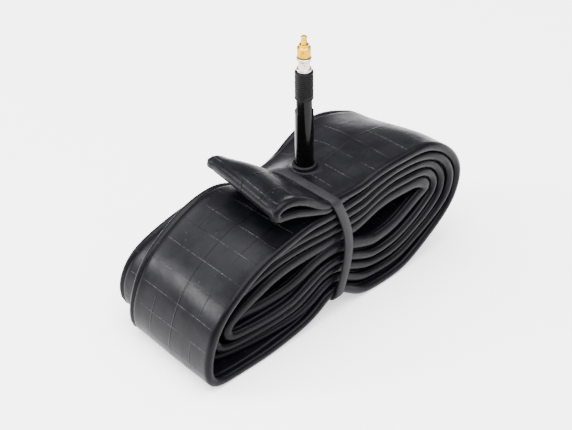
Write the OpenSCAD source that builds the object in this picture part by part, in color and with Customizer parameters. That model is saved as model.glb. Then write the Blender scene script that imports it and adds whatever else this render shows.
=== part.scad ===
// A new bicycle inner tube as it comes out of its box: the flat tube is doubled
// back on itself, rolled up and held by a rubber band, with a slim lift-pin valve
// standing up from the outer turn. Millimetres, +Z up, the roll lies on z = 0.

/* [Rolled tube] */
// Flat width of the empty tube
flat_width = 38; // [24:1:50]
// Thickness of the flattened tube, two walls together
ribbon_thick = 1.5; // [1.2:0.05:2.0]
// Air gap between the two halves of the doubled tube
half_gap = 0.1; // [0.08:0.01:0.2]
// Extra straight length put into the flat top of the roll
extra_length = 0; // [0:1:20]
// How far the inner turns have slipped out at the back
slip_back = 8; // [0:0.5:12]
// How far the inner half of the doubled tube sits behind the outer half
half_stagger = 2.4; // [0:0.2:4]
// How much further left the left lobe stands at the front than at the back
lobe_lean = 2.5; // [0:0.5:4]
// How far the folded end stands out to the left of the band
tongue_reach = 22.2; // [14:0.2:30]

/* [Rubber band] */
// Width of the band
band_width = 3.5; // [2:0.5:6]
// Thickness of the stretched band
band_thick = 0.9; // [0.6:0.1:1.4]
// How far the band bows sideways across the front
band_bow = 5.5; // [0:0.5:8]
// Gap between the band and the valve's rubber base
band_to_valve = 0.25; // [0.1:0.05:3]

/* [Valve stem] */
// Outer diameter of the smooth stem
stem_d = 6; // [5.6:0.1:8]
// Length of the smooth stem above the rubber
smooth_length = 19.5; // [12:0.5:60]
// Height of the pair of flats above the smooth stem
flats_height = 4.8; // [3:0.2:8]
// Width across the flats
flats_width = 5; // [4.6:0.1:5.6]
// Length of the threaded end
thread_length = 10; // [6:0.5:20]
// Thread pitch of the stem
stem_pitch = 0.8; // [0.6:0.1:1.2]
// Thread depth of the stem
thread_depth = 0.22; // [0.1:0.02:0.3]
// How much thinner the stem is, in diameter, where it stands in the rubber
root_step = 0.5; // [0.4:0.1:1]
// How much thinner the threaded end is, in diameter, than the smooth stem
thread_step = 0.4; // [0.4:0.1:0.8]
// Thickness of the stem's foot, which is moulded into the rubber
foot_thick = 0.5; // [0.3:0.1:0.6]
// How far the foot stands out round the stem
foot_lip = 0.6; // [0.3:0.1:0.9]

/* [Rubber valve base] */
// How far the rubber base spreads out round its collar
base_lip = 0.9; // [0.5:0.1:2]
// Thickness of the rubber base at its middle
base_thick = 0.6; // [0.4:0.1:1]
// Thickness of the rubber collar round the stem
collar_wall = 1.2; // [1.1:0.1:2.5]
// Height of the rubber collar above the base
collar_height = 1.4; // [1:0.1:3]

/* [Valve core] */
// Diameter of the core where it screws into the stem
core_d = 4.2; // [4:0.1:4.4]
// Length of the core's threaded barrel
core_thread_length = 7; // [5:0.5:9]
// Wall of the core's lower barrel
barrel_wall = 0.45; // [0.4:0.05:0.6]
// Length of the core's lower barrel
barrel_length = 11; // [8:0.5:14]
// Diameter of the core's head
head_d = 4.7; // [4.5:0.1:5.2]
// Height of the core's head above the stem
head_height = 4.8; // [4:0.2:7]
// Width across the two wrench flats of the core's head
head_flats = 3.5; // [3.2:0.1:3.8]
// Pitch of the core's thread
core_pitch = 0.5; // [0.4:0.1:0.8]
// Depth of the seal's groove
seal_depth = 0.25; // [0.15:0.05:0.3]
// Height of the seal's groove
seal_height = 1.8; // [1.2:0.2:3]

/* [Lift pin] */
// Diameter of the threaded end of the pin
pin_d = 1.9; // [1.7:0.1:2]
// Diameter of the thin middle of the pin
shank_d = 1.2; // [1:0.1:1.4]
// How far the pin stands out above the closed lock nut
pin_stub = 2.8; // [2.4:0.1:4]
// Length of the pin's threaded end inside the core
pin_thread_length = 4; // [3:0.2:5]
// How far the pin can be pushed down once the lock nut is undone
pin_travel = 2; // [1:0.2:2.4]
// Air gap round the pin's thin middle
air_gap = 0.4; // [0.3:0.05:0.5]
// Diameter of the knurled lock nut
nut_d = 4.3; // [4:0.1:5]
// Height of the lock nut
nut_height = 4.6; // [3.6:0.2:6]
// How far the rubber plug laps the core's bore all round
plug_lap = 0.35; // [0.2:0.05:0.4]
// Height of the rubber plug
plug_height = 1.8; // [1.2:0.1:2.4]

/* [Fits] */
// Radial clearance of the pin's thread in the core and in the nut
thread_fit = 0.05; // [0.02:0.01:0.1]
// Radial clearance of the core in the stem
core_fit = 0.05; // [0.02:0.01:0.1]
// Radial room for the core's lower barrel in the stem
barrel_room = 0.15; // [0.1:0.01:0.3]
// Gap left between soft pieces that touch on the real object
soft_gap = 0.05; // [0.02:0.01:0.2]

/* [Hidden] */
$fn = 48;
eps = 0.01;

// The doubled tube is one line that winds round twice outlines: FIRST_TURN is the
// outermost turn seen from the front, starting under the band at the top and
// running clockwise, and FIFTH_TURN is where the same points lie four turns later.
FIRST_TURN = [
    [-6.8, 44.1], [-2, 44.1], [8, 44.1], [14, 45.2], [22, 46], [30, 45.8], [38, 44.9],
    [44.5, 42.4], [49.5, 38.6], [53.2, 33.8], [55.4, 28.4], [55, 22.8], [52.6, 17.8],
    [48.4, 13.6], [43, 9.6], [37, 6], [31, 3.2], [24, 1.6], [15, 1.6], [8, 3.3],
    [-0.6, 8.8], [-6.6, 8.8], [-11, 6.4], [-18, 3.6], [-27, 2.2], [-36, 1.6], [-47, 1.6],
    [-53, 2.6], [-55.6, 5.6], [-56, 10], [-55.2, 15], [-52.8, 21], [-49, 26.4],
    [-44, 30.8], [-38, 34.6], [-31.5, 37.4], [-24, 39.4], [-15, 40.6]];
FIFTH_TURN = [
    [-6.8, 28.9], [-2, 28.9], [8.4, 29.2], [15.7, 31.6], [22.3, 32.9], [28.8, 33],
    [35, 32.5], [38.2, 31.4], [40, 30.2], [41, 29], [41.4, 28], [41.2, 27.2],
    [40.2, 26.4], [38, 25.4], [34.6, 23.8], [30, 21.8], [26, 20.4],
    [22, 19.6], [17, 19.4], [13, 19.9], [1.5, 24], [-8.7, 24], [-17.2, 20],
    [-22, 17.5], [-28.5, 16.2], [-34, 15.7], [-38.5, 15.7], [-40.4, 15.9],
    [-41.1, 16.4], [-41, 17], [-40, 17.7], [-38.3, 18.3], [-36.5, 19], [-33.8, 20.4],
    [-30.4, 22], [-26.6, 23.8], [-21.4, 25.2], [-14.1, 25.6]];
points_per_turn = len(FIRST_TURN);
turns_between = 4;
last_point = turns_between * points_per_turn + 26;

// The outlines were drawn for this pitch of the doubled tube.
drawn_pitch = 3.475;
half_pitch = ribbon_thick + half_gap;
turn_gap = 0.275;
roll_scale = (2 * half_pitch + turn_gap) / drawn_pitch;
outer_reach = half_pitch / 2 + ribbon_thick / 2;

function mix(a, b, f) = a + (b - a) * f;
function clamp(v, low, high) = min(max(v, low), high);

// The flat top between point 0 and point 2 is as long as the band and the valve's base need.
collar_d = stem_d + 2 * collar_wall;
base_d = collar_d + 2 * base_lip;
left_room = 0.45;
right_room = 0.4;
flat_left = FIRST_TURN[0].x * roll_scale;
flat_right = FIRST_TURN[2].x * roll_scale;
flat_needed = left_room + band_width + band_to_valve + base_d + right_room + extra_length;
flat_growth = flat_needed - (flat_right - flat_left);
function stretched(p) =
    [p.x + flat_growth * (clamp((p.x - flat_left) / (flat_right - flat_left), 0, 1) - 0.5), p.y];

// Puts the middle of the roll's length at x = 0.
first_x = [for (p = FIRST_TURN) stretched(p * roll_scale).x];
roll_shift = -(max(first_x) + min(first_x) - lobe_lean) / 2;

// Middle of the doubled tube, counted in points along the roll.
function roll_point(s) =
    let (turn = floor(s / points_per_turn), i = s - turn * points_per_turn)
    stretched(mix(FIRST_TURN[i], FIFTH_TURN[i], turn / turns_between) * roll_scale) + [roll_shift, 0];

function unit(v) = v / norm(v);
function left_of(v) = [-v.y, v.x];
function roll_normal(s) =
    left_of(unit(roll_point(min(s + 1, last_point)) - roll_point(max(s - 1, 0))));

// Where the front edge lies: each turn sits a little further in than the one
// outside it, and the inner turns have slipped back in the left-hand lobe.
slip_start = 21;
slip_turns = [0, 1, 0.62, 0.45, 0.3, 0.3];
function slip(s) =
    let (turn = floor(s / points_per_turn), i = s - turn * points_per_turn,
         f = clamp((i - slip_start) / (points_per_turn - slip_start), 0, 1))
    slip_back * slip_turns[turn] * pow(sin(180 * f), 2);
settle_depth = 1.1;
settle_wave = 0.4;
function settle(s) = (1 - cos(180 * clamp(s / points_per_turn - 0.9, 0, 1))) / 2
    * (settle_depth + settle_wave * sin(360 * s / 47));
end_recess = 4;
function inset(s) = slip(s) + settle(s) + end_recess * clamp((s - last_point) / 6 + 1, 0, 1);

// The left lobe's front edges stand further left than its back edges.
lobe_start = -20;
lobe_end = -55;
function lobe(x) = lobe_lean * clamp((x - lobe_start) / (lobe_end - lobe_start), 0, 1);
function station(p, front) = [p.x - lobe(p.x), p.y, front, lobe(p.x)];

// One station of the flat tube: [front x, z, inset of the front edge, lean towards the back].
outer_run = [for (s = [0 : last_point])
    station(roll_point(s) + roll_normal(s) * half_pitch / 2, inset(s))];
inner_run = [for (s = [last_point : -1 : 0])
    station(roll_point(s) - roll_normal(s) * half_pitch / 2, inset(s) + half_stagger * clamp(s / 4, 0, 1))];

// The inner end turns back on itself in a small round fold.
end_fold_r = 1.1;
end_point = roll_point(last_point);
end_normal = roll_normal(last_point);
end_ahead = [end_normal.y, -end_normal.x];
end_centre = end_point + end_ahead * 1.6;
end_fold = [for (a = [75 : -30 : -75])
    station(end_centre + end_normal * end_fold_r * sin(a) + end_ahead * end_fold_r * cos(a),
        inset(last_point) + half_stagger / 2)];

// The outer end is the tongue: it rises to the left of the band as an open loop.
// Each row is [share of the reach, height above the top turn, share of the lean].
tongue_lean = 5;
tongue_top = [[0.98, 9.5, 1], [0.86, 10.4, 0.9], [0.62, 9.4, 0.7], [0.36, 6.3, 0.45],
              [0.16, 2.7, 0.2]];
tongue_bottom = [[0.14, 0.5, 0.2], [0.36, 2.6, 0.45], [0.6, 4.8, 0.7], [0.82, 6.2, 0.9],
                 [0.97, 6.8, 1], [1.01, 8.1, 1]];
tongue_root = roll_point(0);
function tongue(rows) = [for (r = rows)
    [tongue_root.x - tongue_reach * r[0], tongue_root.y + r[1], 0, tongue_lean * r[2]]];

tube_line = concat(outer_run, end_fold, inner_run, tongue(tongue_bottom), tongue(tongue_top));
tube_depth = flat_width + max([for (p = tube_line) p[2]]);
tube_front = (band_thick + soft_gap - tube_depth) / 2;

module swept_ribbon(line, thick, front, width) {
    count = len(line);
    function at(i) = line[(i + count) % count];
    function side(i) = left_of(unit([at(i + 1).x - at(i - 1).x, at(i + 1).y - at(i - 1).y]))
        * thick / 2;
    points = [for (i = [0 : count - 1])
        let (c = [at(i).x, at(i).y], n = side(i), y = front + at(i)[2], lean = at(i)[3])
        each [
            [c.x + n.x, y, c.y + n.y],
            [c.x - n.x, y, c.y - n.y],
            [c.x - n.x + lean, y + width, c.y - n.y],
            [c.x + n.x + lean, y + width, c.y + n.y]]];
    faces = [for (i = [0 : count - 1], k = [0 : 3])
        let (a = 4 * i + k, b = 4 * i + (k + 1) % 4,
             c = 4 * ((i + 1) % count) + (k + 1) % 4, d = 4 * ((i + 1) % count) + k)
        each [[a, b, c], [a, c, d]]];
    polyhedron(points, faces);
}

module inner_tube() {
    color("#2b2c31") swept_ribbon(tube_line, ribbon_thick, tube_front, flat_width);
}

// ---- rubber band: a flat loop round the waist of the roll ----
waist_top = roll_point(0).y + outer_reach + soft_gap;
waist_bottom = roll_point(slip_start).y - outer_reach - soft_gap;
waist_front = tube_front - soft_gap;
waist_back = tube_front + flat_width + half_stagger + settle_depth + settle_wave + soft_gap;
band_corner = 0.15;
band_top_x = roll_point(0).x + left_room + band_width / 2;
band_bottom_x = (roll_point(slip_start - 1).x + roll_point(slip_start).x) / 2;
band_steps = 10;

// Sideways place of the band's middle at a height on the front face.
function band_x(y, z) =
    let (f = clamp((z - waist_bottom) / (waist_top - waist_bottom), 0, 1),
         front_share = clamp(1 - (y - waist_front) / (flat_width / 3), 0, 1))
    mix(band_bottom_x, band_top_x, f) + band_bow * sin(180 * f) * front_share;

function corner(y, z, from) = [for (a = [from : 30 : from + 90])
    [y + band_corner * cos(a), z + band_corner * sin(a)]];
function side_points(a, b) = [for (i = [1 : band_steps - 1]) mix(a, b, i / band_steps)];
front_y = waist_front + band_corner;
back_y = waist_back - band_corner;
high_z = waist_top - band_corner;
low_z = waist_bottom + band_corner;
band_path = concat(
    corner(back_y, high_z, 0),
    side_points([back_y, waist_top], [front_y, waist_top]),
    corner(front_y, high_z, 90),
    side_points([waist_front, high_z], [waist_front, low_z]),
    corner(front_y, low_z, 180),
    side_points([front_y, waist_bottom], [back_y, waist_bottom]),
    corner(back_y, low_z, 270));

module rubber_band() {
    count = len(band_path);
    function at(i) = band_path[(i + count) % count];
    function outward(i) = let (v = unit(at(i + 1) - at(i - 1))) [v.y, -v.x];
    points = [for (i = [0 : count - 1])
        let (p = at(i), q = p + outward(i) * band_thick, x = band_x(p.x, p.y), w = band_width / 2)
        each [[x - w, p.x, p.y], [x + w, p.x, p.y], [x + w, q.x, q.y], [x - w, q.x, q.y]]];
    faces = [for (i = [0 : count - 1], k = [0 : 3])
        let (a = 4 * i + k, b = 4 * i + (k + 1) % 4,
             c = 4 * ((i + 1) % count) + (k + 1) % 4, d = 4 * ((i + 1) % count) + k)
        each [[a, c, b], [a, d, c]]];
    color("#35363b") polyhedron(points, faces);
}

// ---- valve ----
valve_x = roll_point(2).x - right_room - base_d / 2;
valve_y = tube_front + flat_width / 2 + 1.4;
tube_top = roll_point(2).y + outer_reach;
base_z = tube_top + soft_gap;
foot_rise = 0.3;
stem_z = base_z + foot_rise;
rubber_top = base_z + base_thick + collar_height;
smooth_top = rubber_top + smooth_length;
flats_top = smooth_top + flats_height;
stem_top = flats_top + thread_length;
thread_d = stem_d - thread_step;
root_d = stem_d - root_step;
foot_d = stem_d + 2 * foot_lip;
air_bore = shank_d + 2 * air_gap;
barrel_d = air_bore + 2 * barrel_wall;
stem_bore = barrel_d + 2 * barrel_room;
plug_d = air_bore + 2 * plug_lap;
core_bore = core_d + 2 * core_fit;
pin_bore = pin_d + 2 * thread_fit;
nut_seat = 0.02;
head_top = stem_top + head_height;
nut_z = head_top + nut_seat;
pin_top = nut_z + nut_height + pin_stub;
barrel_bottom = stem_top - core_thread_length - barrel_length;
seal_rise = 7.6;
plug_z = barrel_bottom - soft_gap - plug_height;
cup_height = 0.96;

module at_valve(z) {
    translate([valve_x, valve_y, z]) children();
}

module valve_base() {
    // The feathered pad and the collar are one rubber moulding with the foot's pocket.
    collar_r = collar_d / 2;
    color("#303136") at_valve(base_z) difference() {
        rotate_extrude() polygon([
            [0, 0], [base_d / 2, 0], [base_d / 2, 0.15], [collar_r + 0.3, base_thick],
            [collar_r, base_thick + 0.3], [collar_r - 0.1, base_thick + collar_height - 0.6],
            [collar_r - 0.6, base_thick + collar_height], [0, base_thick + collar_height]]);
        translate([0, 0, foot_rise]) cylinder(d = foot_d, h = foot_thick);
        translate([0, 0, foot_rise]) cylinder(d = root_d, h = collar_height + base_thick);
        translate([0, 0, -1]) cylinder(d = stem_bore, h = 3);
    }
}

module thread_grooves(d, depth, pitch, bottom, top) {
    for (z = [bottom : pitch : top]) translate([0, 0, z]) rotate_extrude()
        polygon([[d / 2 - depth, 0], [d / 2 + eps, -pitch * 0.42], [d / 2 + eps, pitch * 0.42]]);
}

module valve_stem() {
    color("#141416") difference() {
        union() {
            at_valve(stem_z) cylinder(d = foot_d, h = foot_thick);
            at_valve(stem_z) cylinder(d = root_d, h = rubber_top - stem_z + eps);
            at_valve(rubber_top) cylinder(d = stem_d, h = smooth_length);
            at_valve(smooth_top - eps) cylinder(d = thread_d, h = stem_top - 0.4 - smooth_top + eps);
            at_valve(stem_top - 0.4) cylinder(d1 = thread_d, d2 = thread_d - 0.8, h = 0.4);
        }
        for (side = [0, 180]) at_valve(smooth_top) rotate([0, 0, 45 + side])
            translate([-stem_d, flats_width / 2, 0]) cube([2 * stem_d, stem_d, flats_height]);
        at_valve(0) thread_grooves(thread_d, thread_depth, stem_pitch,
            flats_top + stem_pitch, stem_top - stem_pitch);
        at_valve(stem_z - 1) cylinder(d = stem_bore, h = stem_top - stem_z + 2);
        at_valve(stem_top - core_thread_length - 0.8) cylinder(d = core_bore, h = 20);
    }
}

module core_body() {
    head_r = head_d / 2;
    neck_r = head_r - 0.35;
    facet_turn = 45;
    color("#c3c4c6") difference() {
        union() {
            at_valve(stem_top - core_thread_length)
                cylinder(d = core_d, h = core_thread_length + soft_gap + eps);
            at_valve(barrel_bottom) cylinder(d = barrel_d, h = barrel_length + eps);
            at_valve(stem_top + soft_gap) cylinder(r = head_r, h = 0.9);
            at_valve(stem_top + soft_gap) cylinder(r = neck_r, h = head_height - soft_gap - 1.2);
            at_valve(head_top - 1.8) cylinder(r1 = neck_r, r2 = head_r, h = 0.8);
            at_valve(head_top - 1) cylinder(r = head_r, h = 1);
        }
        // Two wrench flats across the waist of the head.
        for (side = [0, 180]) at_valve(stem_top + 1.3) rotate([0, 0, facet_turn + side])
            translate([-head_r, head_flats / 2, 0]) cube([head_d, head_r, 2.2]);
        at_valve(0) thread_grooves(core_d, 0.15, core_pitch,
            stem_top - core_thread_length + core_pitch, stem_top - 1.5);
        at_valve(barrel_bottom - 1) cylinder(d = air_bore, h = head_top - barrel_bottom);
        at_valve(head_top - pin_thread_length - pin_travel - 0.3)
            cylinder(d = pin_bore, h = pin_thread_length + pin_travel + 1);
        // Groove for the rubber sleeve that seals the core in the stem.
        at_valve(barrel_bottom + seal_rise) difference() {
            cylinder(d = barrel_d + 1, h = seal_height);
            cylinder(d = barrel_d - 2 * seal_depth, h = seal_height);
        }
    }
}

module core_seal() {
    color("#1f1f22") at_valve(barrel_bottom + seal_rise + 0.1) difference() {
        cylinder(d = stem_bore - 0.06, h = seal_height - 0.2);
        translate([0, 0, -1]) cylinder(d = barrel_d - 2 * seal_depth + 0.04, h = seal_height + 2);
    }
}

module valve_pin() {
    thread_bottom = head_top - pin_thread_length;
    // The tip is peened a little wider, so that the nut stays on.
    tip_d = pin_d + 0.2;
    foot_bottom = plug_z - 1.6;
    color("#b08d4a") union() {
        at_valve(thread_bottom) cylinder(d = pin_d, h = pin_top - thread_bottom - 0.4);
        at_valve(pin_top - 0.6) cylinder(d = tip_d, h = 0.35);
        at_valve(pin_top - 0.25) cylinder(d1 = tip_d, d2 = pin_d * 0.6, h = 0.25);
        at_valve(foot_bottom + 0.4) cylinder(d = shank_d, h = thread_bottom - foot_bottom - 0.4 + eps);
        at_valve(foot_bottom) cylinder(d = shank_d + 0.7, h = 0.6);
    }
}

module pin_plug() {
    color("#1f1f22") at_valve(plug_z) difference() {
        union() {
            cylinder(d = plug_d, h = plug_height - 0.6);
            translate([0, 0, plug_height - 0.6]) cylinder(d1 = plug_d, d2 = plug_d - 0.6, h = 0.6);
        }
        translate([0, 0, -1]) cylinder(d = shank_d + 0.02, h = plug_height + 2);
    }
}

module plug_cup() {
    color("#b08d4a") at_valve(plug_z - cup_height - 0.02) difference() {
        cylinder(d = plug_d + 0.1, h = cup_height);
        translate([0, 0, -1]) cylinder(d = shank_d + 0.04, h = 4);
        translate([0, 0, -eps]) cylinder(d = shank_d + 0.76, h = 0.45);
    }
}

module lock_nut() {
    shoulder = 1.1;
    knurl_count = 20;
    color("#b9924d") at_valve(nut_z) difference() {
        union() {
            cylinder(d = nut_d - 0.5, h = 0.4);
            translate([0, 0, 0.4]) cylinder(d = nut_d, h = nut_height - 0.4 - shoulder);
            translate([0, 0, nut_height - shoulder]) cylinder(d1 = nut_d, d2 = nut_d - 1, h = 0.5);
            translate([0, 0, nut_height - shoulder]) cylinder(d = nut_d - 1.2, h = shoulder);
        }
        for (i = [0 : knurl_count - 1]) rotate([0, 0, i * 360 / knurl_count])
            translate([nut_d / 2 + 0.1, 0, 0.6]) rotate([0, 0, 45])
                translate([-0.15, -0.15, 0]) cube([0.3, 0.3, nut_height - shoulder - 1]);
        translate([0, 0, -1]) cylinder(d = pin_bore, h = nut_height + 2);
    }
}

inner_tube();
rubber_band();
valve_base();
valve_stem();
core_body();
core_seal();
valve_pin();
pin_plug();
plug_cup();
lock_nut();
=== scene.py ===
"""Looks for a rolled bicycle inner tube: the doubled butyl tube, its band and its lift-pin valve.

Laid out as an add-on and run as a script. Lengths in the code are millimetres, and every mesh is
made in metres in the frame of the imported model.
"""

import math

import bmesh
import bpy
import numpy as np
from bpy.props import FloatProperty, FloatVectorProperty, IntProperty, PointerProperty
from mathutils import Matrix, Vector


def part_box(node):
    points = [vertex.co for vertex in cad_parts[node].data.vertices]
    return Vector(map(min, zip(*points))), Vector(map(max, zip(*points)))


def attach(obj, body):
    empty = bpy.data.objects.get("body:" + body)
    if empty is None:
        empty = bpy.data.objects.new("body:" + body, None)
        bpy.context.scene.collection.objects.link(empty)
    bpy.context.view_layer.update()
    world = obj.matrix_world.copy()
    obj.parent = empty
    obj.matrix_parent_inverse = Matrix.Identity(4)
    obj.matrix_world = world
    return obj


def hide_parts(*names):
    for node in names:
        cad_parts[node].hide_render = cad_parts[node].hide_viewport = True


bl_info = {
    "name": "Rolled inner tube",
    "version": (1, 0, 0),
    "blender": (4, 5, 0),
    "location": "View3D > Sidebar > Inner tube",
    "description": "Builds a rolled butyl inner tube with its band and valve round a packed model",
    "category": "Object",
}

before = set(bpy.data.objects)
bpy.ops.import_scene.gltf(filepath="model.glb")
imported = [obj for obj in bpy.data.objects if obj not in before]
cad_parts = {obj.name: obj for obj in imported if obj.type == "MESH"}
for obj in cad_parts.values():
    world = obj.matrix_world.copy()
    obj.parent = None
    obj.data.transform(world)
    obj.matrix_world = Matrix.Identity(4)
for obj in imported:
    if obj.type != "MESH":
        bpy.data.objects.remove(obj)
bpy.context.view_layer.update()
MM = 0.001


def node_box(node):
    """Lowest and highest corner of a CAD node, in millimetres."""
    low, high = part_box(node)
    return np.array(low) / MM, np.array(high) / MM


# ---------------------------------------------------------------- settings


def length(name, description, default):
    """A size in millimetres that a user may change."""
    return FloatProperty(name=name, description=description, default=default, min=0.0, precision=3)


def colour(name, description, default):
    """A colour that a user may change."""
    limits = {"size": 3, "min": 0.0, "max": 1.0}
    return FloatVectorProperty(
        name=name, description=description, default=default, subtype="COLOR", **limits
    )


class RollSettings(bpy.types.PropertyGroup):
    """Sizes and colours of the rolled tube and its band."""

    flat_width: length("Flat width", "Width of the empty tube, in mm", 38.0)
    half_thick: length("Half thickness", "Half the thickness of the flattened tube, in mm", 0.72)
    half_pitch: length("Half pitch", "Distance between the doubled tube's two halves, in mm", 1.6)
    bead: length("Fold bead", "Half thickness of the tube's folded edge, in mm", 1.45)
    inner_bead: length("Inner bead", "What the innermost turn's fold adds to that, in mm", 0.6)
    stagger: length("Stagger", "How far the inner half sits behind the outer half, in mm", 2.4)
    slip_back: length("Slip", "How far the inner turns have slipped out at the back, in mm", 8.0)
    station_step: length("Station step", "Distance between sections along the tube, in mm", 1.9)
    line_pitch: length("Mould line pitch", "Distance between the moulded lines across, in mm", 7.6)
    tongue_reach: length("Tongue reach", "How far the folded end stands out, in mm", 22.2)
    lobe_lean: length("Lobe lean", "How far the left lobe's front stands out, in mm", 2.5)
    band_width: length("Band width", "Width of the rubber band, in mm", 3.5)
    band_thick: length("Band thickness", "Thickness of the rubber band, in mm", 0.9)
    butyl: colour("Butyl", "Colour of the tube", (0.0021, 0.0021, 0.0032))
    bloom: colour("Bloom", "Colour of the grey bloom on the butyl", (0.0068, 0.0066, 0.0092))
    chalk: colour("Chalk", "Colour of the dusted mould lines", (0.085, 0.085, 0.095))
    band: colour("Band", "Colour of the rubber band", (0.0105, 0.010, 0.0118))


class ValveSettings(bpy.types.PropertyGroup):
    """Sizes and colours of the valve."""

    sides: IntProperty(name="Sides", description="Segments round turned parts", default=96, min=24)
    stem_pitch: length("Stem pitch", "Thread pitch of the stem, in mm", 0.8)
    core_pitch: length("Core pitch", "Thread pitch of the core, in mm", 0.5)
    pin_pitch: length("Pin pitch", "Thread pitch of the lift pin, in mm", 0.4)
    black: colour("Black", "Colour of the anodised stem", (0.0015, 0.0015, 0.0016))
    nickel: colour("Nickel", "Colour of the plated core", (0.55, 0.50, 0.44))
    brass: colour("Brass", "Colour of the lock nut", (0.60, 0.345, 0.010))
    pale_brass: colour("Pin", "Colour of the lift pin", (0.68, 0.42, 0.018))


class StageSettings(bpy.types.PropertyGroup):
    """Camera and light."""

    azimuth: FloatProperty(name="Azimuth", description="Camera azimuth, degrees", default=-44.2)
    elevation: FloatProperty(
        name="Elevation", description="Camera elevation, degrees", default=36.3
    )
    roll: FloatProperty(name="Roll", description="Camera roll, degrees", default=-0.7)
    distance: length("Distance", "Distance from the camera to the aim point, in mm", 600.0)
    lens: length("Lens", "Focal length on a 36 mm sensor", 115.0)
    floor: colour("Floor", "Colour of the floor", (0.93, 0.92, 0.925))


# ---------------------------------------------------------------- shader expressions


class Field:
    """A node's output that can be used in Python expressions; each operation adds a Math node."""

    def __init__(self, material, socket):
        self.material = material
        self.socket = socket

    def math(self, operation, *values):
        settings = {"operation": operation}
        return self.material.add("ShaderNodeMath", settings, dict(enumerate((self, *values))))

    def __add__(self, other):
        return self.math("ADD", other)

    def __sub__(self, other):
        return self.math("SUBTRACT", other)

    def __mul__(self, other):
        return self.math("MULTIPLY", other)

    def __rsub__(self, other):
        return (self * -1.0) + other

    __radd__ = __add__
    __rmul__ = __mul__

    def fraction(self):
        return self.math("FRACT")

    def absolute(self):
        return self.math("ABSOLUTE")

    def clamped(self):
        return self.math("MINIMUM", 1.0).math("MAXIMUM", 0.0)

    def between(self, low, high):
        """0 at low, 1 at high, smooth between them, and either may be the larger."""
        settings = {"interpolation_type": "SMOOTHSTEP"}
        inputs = {"Value": self, "From Min": low, "From Max": high, "To Min": 0.0, "To Max": 1.0}
        return self.material.add("ShaderNodeMapRange", settings, inputs)


class Finish:
    """A node material under construction."""

    def __init__(self, name):
        self.material = bpy.data.materials.new(name)
        self.material.use_nodes = True
        self.tree = self.material.node_tree
        self.tree.nodes.clear()
        self.shader = self.tree.nodes.new("ShaderNodeBsdfPrincipled")
        output = self.tree.nodes.new("ShaderNodeOutputMaterial")
        self.tree.links.new(self.shader.outputs["BSDF"], output.inputs["Surface"])

    def feed(self, socket, value):
        if isinstance(value, Field):
            self.tree.links.new(value.socket, socket)
        elif hasattr(socket.default_value, "__len__") and len(socket.default_value) == 4:
            socket.default_value = (*value[:3], 1.0)
        else:
            socket.default_value = value

    def add(self, kind, settings=None, inputs=None, output=0):
        """Adds a node: its settings are set first, then the values or links of its sockets."""
        node = self.tree.nodes.new(kind)
        for key, value in (settings or {}).items():
            setattr(node, key, value)
        for key, value in (inputs or {}).items():
            self.feed(node.inputs[key], value)
        return Field(self, node.outputs[output])

    def place(self):
        """Position on the object, in millimetres."""
        position = self.add("ShaderNodeTexCoord", output="Object")
        inputs = {0: position, "Scale": 1.0 / MM}
        return self.add("ShaderNodeVectorMath", {"operation": "SCALE"}, inputs)

    def split(self, vector):
        """The X, Y and Z of a vector."""
        node = self.add("ShaderNodeSeparateXYZ", None, {0: vector}).socket.node
        return [Field(self, part) for part in node.outputs]

    def noise(self, vector, size, detail=2.0, rough=0.5):
        """Soft noise whose lumps are about size millimetres across."""
        inputs = {"Vector": vector, "Scale": 1.0 / size, "Detail": detail, "Roughness": rough}
        return self.add("ShaderNodeTexNoise", None, inputs)

    def specks(self, vector, size):
        """Distance to the nearest of many scattered points, in units of size."""
        return self.add("ShaderNodeTexVoronoi", None, {"Vector": vector, "Scale": 1.0 / size})

    def stretch(self, vector, scale):
        return self.add("ShaderNodeVectorMath", {"operation": "MULTIPLY"}, {0: vector, 1: scale})

    def mix(self, factor, first, second):
        """A colour between two colours."""
        node = self.tree.nodes.new("ShaderNodeMix")
        node.data_type = "RGBA"
        node.clamp_factor = True
        self.feed(node.inputs[0], factor)
        self.feed(node.inputs[6], first)
        self.feed(node.inputs[7], second)
        return Field(self, node.outputs[2])

    def bump(self, height, distance, strength=1.0, under=None):
        inputs = {"Height": height, "Distance": distance * MM, "Strength": strength}
        if under is not None:
            inputs["Normal"] = under
        return self.add("ShaderNodeBump", None, inputs)

    def set(self, **values):
        for key, value in values.items():
            self.feed(self.shader.inputs[key.replace("_", " ")], value)
        return self.material


# ---------------------------------------------------------------- materials

LINE_DARK = (0.0004, 0.0004, 0.0005)
BLACK_WORN = (0.0036, 0.0035, 0.0042)
BAND_BLOOM = (0.017, 0.0165, 0.019)
SEAL, SEAL_BLOOM = (0.012, 0.012, 0.012), (0.03, 0.03, 0.03)
NICKEL_FILM = (0.16, 0.14, 0.12)
NUT_FILM = (0.28, 0.15, 0.008)
PIN_FILM = (0.32, 0.18, 0.012)
# Heights between which the tongue rises out of the roll's top.
TONGUE_LOW, TONGUE_HIGH = 46.5, 51.0


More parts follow.
